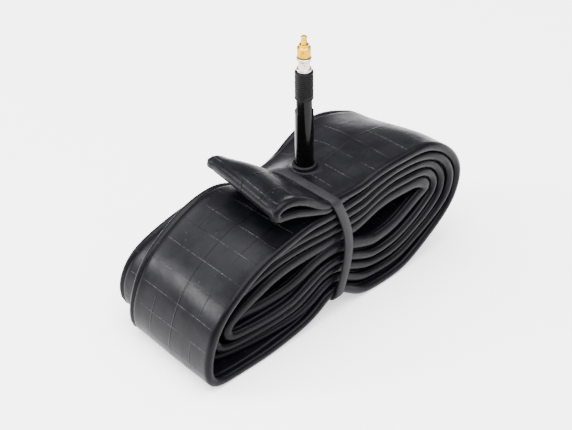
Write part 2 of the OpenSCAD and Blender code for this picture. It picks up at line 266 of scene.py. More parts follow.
def butyl_material(roll):
    """Satin butyl with a grey bloom, dusted mould lines across and thin dark lines along.

    The coat's sheen fades at the folds and on the raised tongue; the bloom thins at the folds as
    painted shade.
    """
    finish = Finish("butyl")
    place = finish.place()
    height = finish.split(place)[2]
    along, across, _ = finish.split(finish.add("ShaderNodeUVMap", {"uv_map": "roll"}))

    blotch = finish.noise(place, 9.0, 3.0, 0.55).between(0.38, 0.68)
    smear = finish.noise(finish.stretch(place, (1.0, 0.35, 1.0)), 3.5, 4.0, 0.6).between(0.45, 0.75)
    grain = finish.noise(place, 0.22, 3.0, 0.6)

    off_line = (along.fraction() - 0.5).absolute()
    groove = off_line.between(0.468, 0.482)
    line = off_line.between(0.483, 0.494)
    dots = finish.noise(place, 0.5, 2.0, 0.7).between(0.42, 0.60)
    worn = finish.noise(place, 9.0, 1.0).between(0.40, 0.60)
    flat = across.absolute().between(0.93, 0.86)
    chalk = line * dots * worn * flat
    groove = groove * flat * finish.noise(place, 11.0, 1.0).between(0.42, 0.62)

    middle = across.absolute().between(0.020, 0.006)
    side = (across.absolute() - 0.52).absolute().between(0.016, 0.005)
    seam = (middle + side * finish.noise(place, 16.0, 1.0).between(0.42, 0.58)).clamped()

    dust_shape = finish.specks(place, 2.6).between(0.085, 0.03)
    dust = dust_shape * finish.noise(place, 5.0, 1.0).between(0.50, 0.62)

    # Painted shade: at the folded edges the bloom drops to a quarter, so the rib faces read darker.
    base = finish.mix((blotch * 0.45 + smear * 0.25) * (flat * 0.75 + 0.25), roll.butyl, roll.bloom)
    base = finish.mix(seam * 0.85 + groove * 0.5, base, LINE_DARK)
    base = finish.mix(chalk * 0.7, base, roll.chalk)
    base = finish.mix(dust * 0.5, base, roll.chalk)

    roughness = blotch * 0.09 + smear * 0.05 + chalk * 0.3 + dust * 0.2 + 0.30
    waves = finish.noise(place, 6.0, 2.0, 0.5)
    under = finish.bump(waves, 0.5, 0.35)
    marked = finish.bump((seam + groove) * -1.0, 0.12, 0.8, under)
    normal = finish.bump(grain, 0.03, 0.5, marked)
    finish.set(IOR=1.5, Specular_IOR_Level=0.075)
    finish.set(Coat_Roughness=0.38, Coat_IOR=1.5, Coat_Tint=(0.90, 0.90, 1.0))
    finish.set(Coat_Weight=flat * height.between(TONGUE_HIGH, TONGUE_LOW) * 0.08)
    return finish.set(Base_Color=base, Roughness=roughness, Normal=normal)


def rubber_material(name, tone, bloom, roughness):
    """Plain matt rubber with a little bloom, for the band, the collar and the seals."""
    finish = Finish(name)
    place = finish.place()
    patch = finish.noise(place, 4.0, 3.0, 0.6).between(0.4, 0.7)
    grain = finish.noise(place, 0.18, 2.0, 0.6)
    base = finish.mix(patch * 0.5, tone, bloom)
    normal = finish.bump(grain, 0.03, 0.6)
    finish.set(IOR=1.5, Specular_IOR_Level=0.12)
    return finish.set(Base_Color=base, Roughness=patch * 0.1 + roughness, Normal=normal)


def anodised_material(tone, thread_bottom):
    """Gloss black anodised aluminium with faint turning marks and wear, duller on the thread."""
    finish = Finish("black_anodised")
    place = finish.place()
    turning = finish.noise(finish.stretch(place, (0.05, 0.05, 1.0)), 0.12, 2.0)
    rub = finish.noise(place, 2.2, 3.0, 0.6).between(0.55, 0.75)
    height = finish.split(place)[2]
    threaded = height.between(thread_bottom - 0.1, thread_bottom + 0.1)
    base = finish.mix(rub * 0.35 + threaded * 0.5, tone, BLACK_WORN)
    normal = finish.bump(turning, 0.01, 0.15)
    finish.set(IOR=1.45, Specular_IOR_Level=0.12)
    return finish.set(Base_Color=base, Roughness=rub * 0.14 + threaded * 0.3 + 0.14, Normal=normal)


def metal_material(name, tone, dark, roughness):
    """Turned metal with tool marks round it and a duller film in patches."""
    finish = Finish(name)
    place = finish.place()
    turning = finish.noise(finish.stretch(place, (0.04, 0.04, 1.0)), 0.10, 3.0)
    film = finish.noise(place, 1.6, 3.0, 0.6).between(0.42, 0.72)
    base = finish.mix(film * 0.55, tone, dark)
    normal = finish.bump(turning, 0.012, 0.3)
    finish.set(Metallic=1.0)
    return finish.set(Base_Color=base, Roughness=film * 0.14 + roughness, Normal=normal)


def floor_material(tone):
    finish = Finish("floor")
    cloud = finish.noise(finish.place(), 160.0, 2.0)
    pale = finish.mix(cloud * 0.3, tone, tuple(0.985 * c for c in tone))
    finish.set(Emission_Strength=1.0, Emission_Color=(1.0, 0.985, 0.985))
    return finish.set(Base_Color=pale, Roughness=0.9)


# ---------------------------------------------------------------- meshes


def mesh_object(name, points, faces, material, sharp=None):
    """A smooth-shaded mesh made from points in millimetres."""
    mesh = bpy.data.meshes.new(name)
    mesh.from_pydata((np.asarray(points, float) * MM).tolist(), [], faces)
    mesh.update()
    mesh.polygons.foreach_set("use_smooth", [True] * len(mesh.polygons))
    if sharp is not None:
        mesh.set_sharp_from_angle(angle=math.radians(sharp))
    mesh.materials.append(material)
    piece = bpy.data.objects.new(name, mesh)
    bpy.context.scene.collection.objects.link(piece)
    return piece


def grid_faces(rows, columns):
    """Quads of a grid that closes on itself both ways."""
    row, column = np.meshgrid(np.arange(rows), np.arange(columns), indexing="ij")
    next_row = (row + 1) % rows
    next_column = (column + 1) % columns
    corners = (
        row * columns + column,
        row * columns + next_column,
        next_row * columns + next_column,
        next_row * columns + column,
    )
    return np.stack([c.ravel() for c in corners], 1)


def smooth_step(value, low, high):
    share = np.clip((value - low) / (high - low), 0.0, 1.0)
    return share * share * (3.0 - 2.0 * share)


def curve_through(points, steps, closed=False):
    """A smooth curve through points, with steps samples between neighbours."""
    points = np.asarray(points, float)
    count = len(points)
    spans = count if closed else count - 1

    def at(i):
        return points[i % count] if closed else points[min(max(i, 0), count - 1)]

    samples = []
    for i in range(spans):
        before, start, end, after = at(i - 1), at(i), at(i + 1), at(i + 2)
        for k in range(steps):
            t = k / steps
            samples.append(
                0.5
                * (
                    2.0 * start
                    + (end - before) * t
                    + (2.0 * before - 5.0 * start + 4.0 * end - after) * t**2
                    + (3.0 * start - before - 3.0 * end + after) * t**3
                )
            )
    if not closed:
        samples.append(points[-1])
    return np.array(samples)


def normals_of(line, closed=False):
    """Unit vectors to the left of a line in the XZ plane."""
    if closed:
        step = np.roll(line, -1, 0) - np.roll(line, 1, 0)
    else:
        step = np.gradient(line, axis=0)
    left = np.stack([-step[:, 1], step[:, 0]], 1)
    return left / np.linalg.norm(left, axis=1)[:, None]


# ---------------------------------------------------------------- the roll

# Middle line of the doubled tube, seen from the front and clockwise from under the band at the
# top: the outermost turn, and the same points four turns further in.
FIRST_TURN = [
    (-6.8, 44.1), (-2, 44.1), (8, 44.1), (14, 45.2), (22, 46), (30, 45.8), (38, 44.9),
    (44.5, 42.4), (49.5, 38.6), (53.2, 33.8), (55.4, 28.4), (55, 22.8), (52.6, 17.8),
    (48.4, 13.6), (43, 9.6), (37, 6), (31, 3.2), (24, 1.6), (15, 1.6), (8, 3.3),
    (-0.6, 8.8), (-6.6, 8.8), (-11, 6.4), (-18, 3.6), (-27, 2.2), (-36, 1.6), (-47, 1.6),
    (-53, 2.6), (-55.6, 5.6), (-56, 10), (-55.2, 15), (-52.8, 21), (-49, 26.4),
    (-44, 30.8), (-38, 34.6), (-31.5, 37.4), (-24, 39.4), (-15, 40.6),
]
FIFTH_TURN = [
    (-6.8, 28.9), (-2, 28.9), (8.4, 29.2), (15.7, 31.6), (22.3, 32.9), (28.8, 33),
    (35, 32.5), (38.2, 31.4), (40, 30.2), (41, 29), (41.4, 28), (41.2, 27.2),
    (40.2, 26.4), (38, 25.4), (34.6, 23.8), (30, 21.8), (26, 20.4), (22, 19.6),
    (17, 19.4), (13, 19.9), (1.5, 24), (-8.7, 24), (-17.2, 20), (-22, 17.5),
    (-28.5, 16.2), (-34, 15.7), (-38.5, 15.7), (-40.4, 15.9), (-41.1, 16.4), (-41, 17),
    (-40, 17.7), (-38.3, 18.3), (-36.5, 19), (-33.8, 20.4), (-30.4, 22), (-26.6, 23.8),
    (-21.4, 25.2), (-14.1, 25.6),
]
TURNS_BETWEEN = 4
POINTS_PER_TURN = len(FIRST_TURN)
LAST_POINT = TURNS_BETWEEN * POINTS_PER_TURN + 26
SLIP_START = 21
SLIP_TURNS = np.array([0.0, 1.0, 0.62, 0.45, 0.3, 0.3])
FINE = 10

# The tongue's two halves: share of the reach, height above the top turn, share of the lean.
TONGUE_TOP = [
    (0.98, 9.5, 1), (0.86, 10.4, 0.9), (0.62, 9.4, 0.7), (0.36, 6.3, 0.45), (0.16, 2.7, 0.2),
]
TONGUE_BOTTOM = [
    (0.14, 0.5, 0.2), (0.36, 2.6, 0.45), (0.6, 4.8, 0.7), (0.82, 6.2, 0.9), (0.97, 6.8, 1),
    (1.01, 8.1, 1),
]
TONGUE_LEAN = 5.0
TONGUE_RISE = 8.4
TONGUE_PUFF = 0.35
# The tongue's back end is rounded off over the last share of its depth, nearly to a point,
# and drawn right; the tongue also rises a little towards the back and is slightly narrower.
NOSE_START, NOSE_DEPTH, NOSE_ROUND, NOSE_CLOSE, NOSE_RIGHT = 0.82, 0.18, 0.94, 0.9, 1.6
TONGUE_LIFT, TONGUE_NARROW = 0.8, 0.6
# Soft waves over the flat faces: height in millimetres, and length in mould lines.
BROAD_WAVE, BROAD_LENGTH = 0.16, 5.3
SHORT_WAVE, SHORT_LENGTH = 0.10, 2.9

# Where the valve stands in the outlines as drawn.
DRAWN_VALVE_X = 2.5
LOBE_START, LOBE_END = -20.0, -55.0

# Front edges: the inner turns settle back, wander a little, and the last few points recede.
SETTLE_START = 0.9
SETTLE_DEPTH, SETTLE_WAVE, SETTLE_WAVELENGTH = 1.1, 0.4, 47
WANDER, WANDER_WAVELENGTH = 0.35, 13.7
END_RECESS, END_POINTS = 4.0, 8

# The fold at the roll's inner end.
END_FOLD_AHEAD, END_FOLD_R = 1.5, 1.1

# Folded edges: a bead is full up to the first distance from the fold and gone at the second.
BEAD_FULL, BEAD_GONE = 1.4, 4.2
FOLD_ROUND = 1.3
THIN_EDGE = 0.12

# The line is smoothed over this many samples each way, with this spread.
SMOOTH_SAMPLES, SMOOTH_SPREAD = 6, 2.2

# How the roll has settled: the back edges sink beside the band, and the right lobe sinks and
# stands further left towards the back.
WAIST_FROM_BAND = 1.5
WAIST_LEFT, WAIST_RIGHT = 12.0, 23.0
WAIST_SAG, WAIST_SHIFT = 7.0, 1.4
LOBE_SAG, LOBE_SHIFT = 3.4, 4.0
SAG_FLOOR, SAG_RISE, SAG_MOST = 26.0, 19.0, 1.2
LOWEST_Z = 0.02

# Columns of the tube's line.
X, Z, INSET, LEAN, OUTER, TONGUE, INNERMOST = range(7)


def roll_shift():
    """How far the drawn outlines are moved along X to fit the CAD model."""
    return valve_axis()[0] - DRAWN_VALVE_X


def roll_points():
    """Coarse middle line of the doubled tube."""
    first = np.array(FIRST_TURN, float)
    fifth = np.array(FIFTH_TURN, float)
    turn, point = np.divmod(np.arange(LAST_POINT + 1), POINTS_PER_TURN)
    drawn = first[point] + (fifth[point] - first[point]) * (turn / TURNS_BETWEEN)[:, None]
    return drawn + [roll_shift(), 0.0]


def front_inset(count_along, roll):
    """How far the front edge lies behind the front of the roll."""
    turn = np.floor(count_along / POINTS_PER_TURN).astype(int)
    point = count_along - turn * POINTS_PER_TURN
    share = np.clip((point - SLIP_START) / (POINTS_PER_TURN - SLIP_START), 0, 1)
    slip = roll.slip_back * SLIP_TURNS[turn] * np.sin(math.pi * share) ** 2
    settled_share = np.clip(count_along / POINTS_PER_TURN - SETTLE_START, 0, 1)
    settled = (1 - np.cos(math.pi * settled_share)) / 2
    wave = np.sin(2 * math.pi * count_along / SETTLE_WAVELENGTH)
    settled = settled * (SETTLE_DEPTH + SETTLE_WAVE * wave)
    wander = WANDER * np.sin(2 * math.pi * count_along / WANDER_WAVELENGTH + 1.0)
    wander = wander * smooth_step(count_along, 30, 44)
    recess = END_RECESS * smooth_step(count_along, LAST_POINT - END_POINTS, LAST_POINT)
    return slip + settled + wander + recess


def end_fold(end, side, inset, roll):
    """The small round fold in which the inner end turns back on itself."""
    ahead = np.array([side[1], -side[0]])
    turns = np.radians(np.linspace(80, -80, 17))
    arc = np.outer(np.sin(turns), side) + np.outer(np.cos(turns), ahead)
    bend = end + ahead * END_FOLD_AHEAD + END_FOLD_R * arc
    ease = np.linspace(0, 1, len(bend))
    zero = 0 * ease
    return np.column_stack([bend, inset + roll.stagger * ease, zero, 1 - ease, zero, 1 + zero])


def tongue_half(rows, root, roll):
    """One half of the tongue's loop, from its rows of shares and heights."""
    rows = np.array(rows, float)
    x = root[0] - roll.tongue_reach * rows[:, 0]
    z = root[1] + rows[:, 1]
    zero = 0 * x
    return np.column_stack([x, z, zero, TONGUE_LEAN * rows[:, 2], 0.5 + zero, 1 + zero, zero])


def tube_line(roll):
    """The closed middle line of the flat tube, with a row of the columns above for each place."""
    middle = curve_through(roll_points(), FINE)
    count_along = np.arange(len(middle)) / FINE
    normal = normals_of(middle)
    half = roll.half_pitch / 2
    inset = front_inset(count_along, roll)
    zero = np.zeros_like(inset)
    one = np.ones_like(inset)
    near_root = smooth_step(count_along, 0, 4)
    innermost = smooth_step(count_along, 3.55 * POINTS_PER_TURN, 4.05 * POINTS_PER_TURN)
    outer = np.column_stack([middle + normal * half, inset, zero, one, 1 - near_root, innermost])
    behind = inset + roll.stagger * near_root
    inner = np.column_stack([middle - normal * half, behind, zero, zero, 1 - near_root, innermost])
    fold = end_fold(middle[-1], normal[-1], inset[-1], roll)

    # The tongue's curve runs on a little into the roll at both ends, so that it joins smoothly.
    before = inner[::-1][-2 * FINE :: FINE]
    after = outer[FINE : 3 * FINE : FINE]
    bottom, top = (tongue_half(rows, middle[0], roll) for rows in (TONGUE_BOTTOM, TONGUE_TOP))
    knots = np.vstack([before, inner[:1], bottom, top, outer[:1], after])
    curve = curve_through(knots, FINE)
    tongue = curve[len(before) * FINE : len(curve) - len(after) * FINE]
    return np.vstack([outer[:-1], fold, inner[::-1][:-1], tongue[:-1]])


def smoothed(line):
    """Rounds off the corners of a closed line."""
    offsets = np.arange(-SMOOTH_SAMPLES, SMOOTH_SAMPLES + 1)
    kernel = np.exp(-0.5 * (offsets / SMOOTH_SPREAD) ** 2)
    kernel /= kernel.sum()
    padded = np.vstack([line[-SMOOTH_SAMPLES:], line, line[:SMOOTH_SAMPLES]])
    return np.column_stack([np.convolve(column, kernel, "valid") for column in padded.T])


def measured(line):
    """A line closed on its first point, and the distance along it to each point."""
    closed = np.vstack([line, line[:1]])
    steps = np.linalg.norm(np.diff(closed[:, :2], axis=0), axis=1)
    return closed, np.concatenate([[0], np.cumsum(steps)])


def sampled(closed, lengths, places):
    """The columns of a measured line at the given distances along it."""
    return np.column_stack([np.interp(places, lengths, column) for column in closed.T])


def stations(line, roll):
    """Evenly spaced stations, the place of each counted in mould lines, and how many those are."""
    closed, lengths = measured(line)
    total = lengths[-1]
    lines = int(round(total / roll.line_pitch))
    count = int(round(total / roll.station_step))
    places = np.arange(count) * total / count
    return sampled(closed, lengths, places), places * lines / total, lines


def section(roll):
    """Distances from the front edge across the flat tube, closest at its folds."""
    edge = np.array([0.0, 0.06, 0.25, 0.6, 1.05, 1.6, 2.3, 3.1, 4.2, 6.0, 8.2])
    inner = np.linspace(10.6, roll.flat_width - 10.6, 8)
    return np.concatenate([edge, inner, roll.flat_width - edge[::-1]])


def fold_round(distance):
    """Share of the thickness at a distance from a fold: a round end, then the whole thickness."""
    share = np.clip(1 - distance / FOLD_ROUND, 0, 1)
    return np.sqrt(np.clip(1 - share**2, 0.0, 1))


def half_thickness(data, across, roll):
    """Half thickness of each section, and how far its beads push it towards the other half."""
    front, back = across, roll.flat_width - across
    is_outer = data[:, OUTER][:, None]
    in_tongue = data[:, TONGUE][:, None]
    front_fat = np.clip(is_outer + in_tongue, 0, 1)
    back_fat = np.clip(1 - is_outer + in_tongue, 0, 1)
    bead_gain = roll.bead - roll.half_thick + roll.inner_bead * data[:, INNERMOST][:, None]
    near_front = 1 - smooth_step(front, BEAD_FULL, BEAD_GONE)
    near_back = 1 - smooth_step(back, BEAD_FULL, BEAD_GONE)
    gain = bead_gain * (front_fat * near_front + back_fat * near_back)
    both_fat = np.clip(front_fat + back_fat - 1, 0, 1)
    half = roll.half_thick + gain + THIN_EDGE * (near_front + near_back) * (1 - both_fat)
    half = half + in_tongue * TONGUE_PUFF * np.sin(math.pi * across / roll.flat_width)
    return half * fold_round(front) * fold_round(back), -gain * (1 - in_tongue)


def ripples(along, v):
    """Soft waves of the tube's flat faces, from the places along and across."""
    s = along[:, None]
    broad = BROAD_WAVE * np.sin(2 * math.pi * (s / BROAD_LENGTH + 0.6 * v)) * np.sin(math.pi * v)
    return broad + SHORT_WAVE * np.sin(2 * math.pi * (s / SHORT_LENGTH - 0.4 * v) + 1.3)


def tube_side(line, data, v, lift, roll):
    """One face of the flat tube, lifted off its middle line."""
    in_tongue = data[:, TONGUE][:, None]
    normal = normals_of(data[:, :2], closed=True)
    x = data[:, X][:, None] + normal[:, 0][:, None] * lift + data[:, LEAN][:, None] * v
    x = x - roll.lobe_lean * lobe_share(x) * (1 - v) * (1 - in_tongue)
    z = data[:, Z][:, None] + normal[:, 1][:, None] * lift
    across = section(roll)[None, :]
    y = np.broadcast_to(roll_front() + data[:, INSET][:, None] + across, x.shape)

    reach = np.clip((line[0, X] - data[:, X]) / roll.tongue_reach, 0, 1)[:, None] * in_tongue
    towards_end = NOSE_ROUND * np.clip((v - NOSE_START) / NOSE_DEPTH, 0, 1)
    nose = (1 - np.sqrt(1 - towards_end**2)) * smooth_step(reach, 0.1, 0.6)
    level = line[0, Z] + TONGUE_RISE * reach**0.7
    z = z + (level - z) * NOSE_CLOSE * nose + TONGUE_LIFT * reach * smooth_step(v, 0.2, 0.9)
    x = x + NOSE_RIGHT * nose * reach
    y = y - TONGUE_NARROW * reach * v
    return np.stack([x, y, z], 2)


def lay_track(piece, faces, along, column_v, lines):
    """Stores the place along the tube, in mould lines, and across it, from -1 to 1, as a UV map."""
    track = piece.data.uv_layers.new(name="roll")
    row = faces // len(column_v)
    row_along = along[row]
    row_along[(row == 0) & (row.max(1, keepdims=True) == len(along) - 1)] += lines
    uv = np.stack([row_along, column_v[faces % len(column_v)]], 2)
    track.data.foreach_set("uv", uv.reshape(-1).astype(np.float32))


def build_tube(roll, material):
    """Sweeps the flat tube's section along the closed line."""
    line = smoothed(tube_line(roll))
    data, along, lines = stations(line, roll)
    across = section(roll)
    v = across[None, :] / roll.flat_width
    half, shift = half_thickness(data, across, roll)
    ripple = ripples(along, v)
    upper, lower = (
        tube_side(line, data, v, shift + ripple + sign * half, roll) for sign in (1.0, -1.0)
    )
    ring = np.concatenate([upper, lower[:, -2:0:-1]], 1)
    points = settle_waist(ring.reshape(-1, 3))
    faces = grid_faces(*ring.shape[:2])
    piece = mesh_object("butyl_tube", points, faces.tolist(), material)
    column_v = np.concatenate([across, across[-2:0:-1]]) / roll.flat_width * 2 - 1
    lay_track(piece, faces, along, column_v, lines)
    return piece


def lobe_share(x):
    """How much of the left lobe's lean a place along X takes, from 0 to 1."""
    return np.clip((x - roll_shift() - LOBE_START) / (LOBE_END - LOBE_START), 0, 1)


def roll_front():
    """Front of the roll, from the CAD tube's box."""
    return node_box("inner_tube")[0][1]


def settle_waist(points):
    """Lets points settle with the roll, by the sizes above; none goes below the floor."""
    points = points.copy()
    waist = node_box("rubber_band")[0][0] + WAIST_FROM_BAND
    aside = points[:, 0] - waist
    near = np.exp(-((aside / np.where(aside > 0, WAIST_RIGHT, WAIST_LEFT)) ** 2))
    back = smooth_step(points[:, 1], -2.5, 15.0)
    high = np.clip((points[:, 2] - SAG_FLOOR) / SAG_RISE, 0, SAG_MOST)
    right = smooth_step(points[:, 0], 22.0, 46.0)
    deep = smooth_step(points[:, 1], -18.0, 16.0)
    points[:, 2] -= (WAIST_SAG * near * back + LOBE_SAG * right * deep) * high
    lobe_shift = LOBE_SHIFT * smooth_step(points[:, 0], 20.0, 58.0) * deep
    points[:, 0] -= lobe_shift + WAIST_SHIFT * near * back * high
    points[:, 2] = np.maximum(points[:, 2], LOWEST_Z)
    return points


# ---------------------------------------------------------------- the band


BAND_ROUND = 2.0
BAND_SLANT = 1.0
BAND_BOW = 5.5
BAND_BEVEL = 0.16
BAND_CROWN = 0.04
BAND_SAMPLES = 240


def build_band(roll, material):
    """A flat band round the waist, bowed across the front."""
    low, high = node_box("rubber_band")
    thick = roll.band_thick
    bottom, top = low[2] + thick / 2, high[2] - thick / 2
    front, back = low[1] + thick / 2, high[1] - thick / 2
    corners = []
    for cy, cz, start in (
        (back - BAND_ROUND, top - BAND_ROUND, 0),
        (front + BAND_ROUND, top - BAND_ROUND, 90),
        (front + BAND_ROUND, bottom + BAND_ROUND, 180),
        (back - BAND_ROUND, bottom + BAND_ROUND, 270),
    ):
        for angle in np.radians(np.linspace(start, start + 90, 9)):
            corners.append((cy + BAND_ROUND * math.cos(angle), cz + BAND_ROUND * math.sin(angle)))
    closed, lengths = measured(np.array(corners))
    path = sampled(closed, lengths, np.linspace(0, lengths[-1], BAND_SAMPLES + 1)[:-1])
    outward = -normals_of(path, closed=True)

    height = np.clip((path[:, 1] - bottom) / (top - bottom), 0, 1)
    at_front = np.clip(1 - (path[:, 0] - front) / (roll.flat_width / 3), 0, 1)
    bow = BAND_BOW * np.sin(math.pi * height) * at_front
    centre = low[0] + roll.band_width / 2 + BAND_SLANT * (1 - height) + bow
    w, t, e = roll.band_width / 2, thick / 2, BAND_BEVEL
    outline = np.array([
        (-w + e, -t), (0, -t), (w - e, -t), (w, -t + e), (w, t - e),
        (w - e, t), (0, t + BAND_CROWN), (-w + e, t), (-w, t - e), (-w, -t + e),
    ])
    x = centre[:, None] + outline[None, :, 0]
    y = path[:, 0][:, None] + outward[:, 0][:, None] * outline[None, :, 1]
    z = path[:, 1][:, None] + outward[:, 1][:, None] * outline[None, :, 1]
    ring = np.stack([x, y, z], 2)
    points = settle_waist(ring.reshape(-1, 3))
    faces = grid_faces(*ring.shape[:2]).tolist()
    return mesh_object("waist_band", points, faces, material, sharp=50)


# ---------------------------------------------------------------- turned parts

FACING = math.radians(-45.0)
STEM_R, STEM_THREAD_R, STEM_BORE, FOOT_R = 3.0, 2.94, 1.6, 3.6
STEM_THREAD_LENGTH, STEM_FLATS_LENGTH = 10.0, 4.8
CORE_SOCKET_R, CORE_SOCKET_DEPTH = 2.15, 7.8
CORE_HEAD_R, CORE_WAIST_R, CORE_THREAD_R, CORE_BARREL_R, CORE_BORE = 2.35, 2.02, 2.1, 1.45, 1.0
CORE_THREAD_LENGTH = 7.0
SEAL_GROOVE_R, SEAL_GROOVE_LOW, SEAL_GROOVE_HIGH = 1.2, 7.6, 9.4
PIN_R, SHANK_R, PIN_FOOT_R = 0.95, 0.6, 0.95
NUT_SHOULDER, NUT_KNURLS = 1.1, 20
COLLAR_ROUND, COLLAR_R, COLLAR_POCKET_R, COLLAR_SKIRT = 0.75, 3.42, 3.02, 1.6


class Turned:
    """A part turned round the valve's axis, with threads, flats and knurls cut into its outside."""

    def __init__(self, sides):
        self.sides = sides
        self.outline = []

    def run(self, *points):
        """Adds (height, radius) points of the outline."""
        self.outline += [(z, r, None) for z, r in points]
        return self

    def cut(self, bottom, top, radius, step, shape):
        """Adds a stretch whose radius shape(radius, height, angles) works out."""
        count = max(2, int(round(abs(top - bottom) / step)))
        self.outline += [(z, radius, shape) for z in np.linspace(bottom, top, count + 1)]
        return self

    def make(self, name, axis, material, sharp=30):
        angles = np.linspace(0, 2 * math.pi, self.sides, endpoint=False)
        rows = []
        for z, r, shape in self.outline:
            radius = np.full_like(angles, r) if shape is None else shape(r, z, angles)
            x = axis[0] + radius * np.cos(angles)
            y = axis[1] + radius * np.sin(angles)
            rows.append(np.stack([x, y, np.full_like(angles, z)], 1))
        ring = np.stack(rows, 0)
        faces = grid_faces(*ring.shape[:2])
        piece = mesh_object(name, ring.reshape(-1, 3), faces.tolist(), material)
        tidy_mesh(piece.data, sharp)
        return piece


def tidy_mesh(mesh, sharp):
    """Joins points that meet on the axis, turns faces outward and marks sharp edges."""
    shell = bmesh.new()
    shell.from_mesh(mesh)
    bmesh.ops.remove_doubles(shell, verts=shell.verts, dist=1e-6)
    bmesh.ops.dissolve_degenerate(shell, edges=shell.edges, dist=1e-7)
    bmesh.ops.recalc_face_normals(shell, faces=shell.faces)
    shell.to_mesh(mesh)
    shell.free()
    mesh.set_sharp_from_angle(angle=math.radians(sharp))


def thread(pitch, depth, bottom, top):
    """A right-handed V thread that runs out softly at both ends."""

    def shape(radius, z, angles):
        phase = (z / pitch - angles / (2 * math.pi)) % 1.0
        groove = np.clip(1.15 - np.abs(phase - 0.5) * 3.2, 0.0, 1.0)
        fade = smooth_step(z, bottom, bottom + pitch) * (1 - smooth_step(z, top - pitch * 0.8, top))
        return radius - depth * groove * fade

    return shape


def flats(half_across):
    """Two flats, half_across from the axis, that face as the valve's flats do."""

    def shape(radius, z, angles):
        reach = half_across / np.maximum(np.abs(np.cos(angles - FACING)), 1e-3)
        return np.minimum(radius, reach)

    return shape


def knurl(count, depth):
    """Straight V grooves round the part."""

    def shape(radius, z, angles):
        phase = (angles * count / (2 * math.pi)) % 1.0
        return radius - depth * np.clip(1 - np.abs(phase - 0.5) * 4, 0, 1)

    return shape


def valve_axis():
    """X and Y of the valve's axis, from the CAD stem's box."""
    low, high = node_box("valve_stem")
    return (low[:2] + high[:2]) / 2


def build_collar(valve, material):
    """The rubber collar, rounded on top and feathered into the tube."""
    low, high = node_box("valve_base")
    base, top = low[2], high[2]
    outer = (high[0] - low[0]) / 2
    part = Turned(valve.sides)
    part.run((base - 0.25, STEM_BORE), (base - 0.25, outer + COLLAR_SKIRT))
    part.run((base - 0.04, outer + 1.5), (base + 0.06, outer + 0.6))
    part.run((base + 0.25, outer - 0.25), (base + 0.52, outer - 0.7))
    part.run((base + 0.78, 4.25), (base + 1.0, 4.18))
    for angle in np.radians(np.linspace(0, 90, 9)):
        height = top - COLLAR_ROUND + COLLAR_ROUND * math.sin(angle)
        part.run((height, COLLAR_R + COLLAR_ROUND * math.cos(angle)))
    part.run((top - 0.1, 3.12), (top - 0.25, COLLAR_POCKET_R))
    part.run((base + 0.9, COLLAR_POCKET_R), (base + 0.9, STEM_BORE))
    piece = part.make("valve_collar", valve_axis(), material, sharp=60)

    # The feathered skirt follows the tube where it sinks behind the valve.
    points = np.array([vertex.co[:] for vertex in piece.data.vertices]) / MM
    spread = np.linalg.norm(points[:, :2] - valve_axis(), axis=1)
    skirt = smooth_step(spread, 3.9, outer + 0.2) * (points[:, 2] < base + 0.9)
    points[:, 2] += (settle_waist(points)[:, 2] - points[:, 2]) * skirt
    piece.data.vertices.foreach_set("co", (points * MM).astype(np.float32).ravel())
    piece.data.update()
    return piece


def build_stem(valve, material):
    """Foot, smooth stem, pair of flats and threaded end, bored through."""
    low, high = node_box("valve_stem")
    foot, top = low[2], high[2]
    r, thread_r = STEM_R, STEM_THREAD_R
    start = top - STEM_THREAD_LENGTH
    flats_start = start - STEM_FLATS_LENGTH
    part = Turned(max(valve.sides, 144))
    part.run((foot, STEM_BORE), (foot, FOOT_R - 0.1), (foot + 0.1, FOOT_R))
    part.run((foot + 0.4, FOOT_R), (foot + 0.5, FOOT_R - 0.1), (foot + 0.52, r))
    part.run((foot + 4, r), (flats_start - 0.5, r))
    part.run((flats_start - 0.04, r), (flats_start, r - 0.03))
    part.cut(flats_start + 0.005, start - 0.005, r - 0.03, 0.8, flats(2.5))
    part.run((start, r - 0.03), (start + 0.04, r), (start + 0.22, r), (start + 0.3, r - 0.06))
    part.run((start + 0.45, thread_r - 0.16), (start + 0.8, thread_r - 0.16))
    part.run((start + 0.95, thread_r))
    bottom, end = start + 1.0, top - 0.45
    part.cut(bottom, end, thread_r, 0.05, thread(valve.stem_pitch, 0.2, bottom, end))
    part.run((top - 0.4, thread_r - 0.02), (top - 0.06, thread_r - 0.36), (top, thread_r - 0.42))
    part.run((top, CORE_SOCKET_R + 0.08), (top - 0.08, CORE_SOCKET_R))
    part.run((top - CORE_SOCKET_DEPTH, CORE_SOCKET_R), (top - 8.2, STEM_BORE))
    return part.make("stem_body", valve_axis(), material)


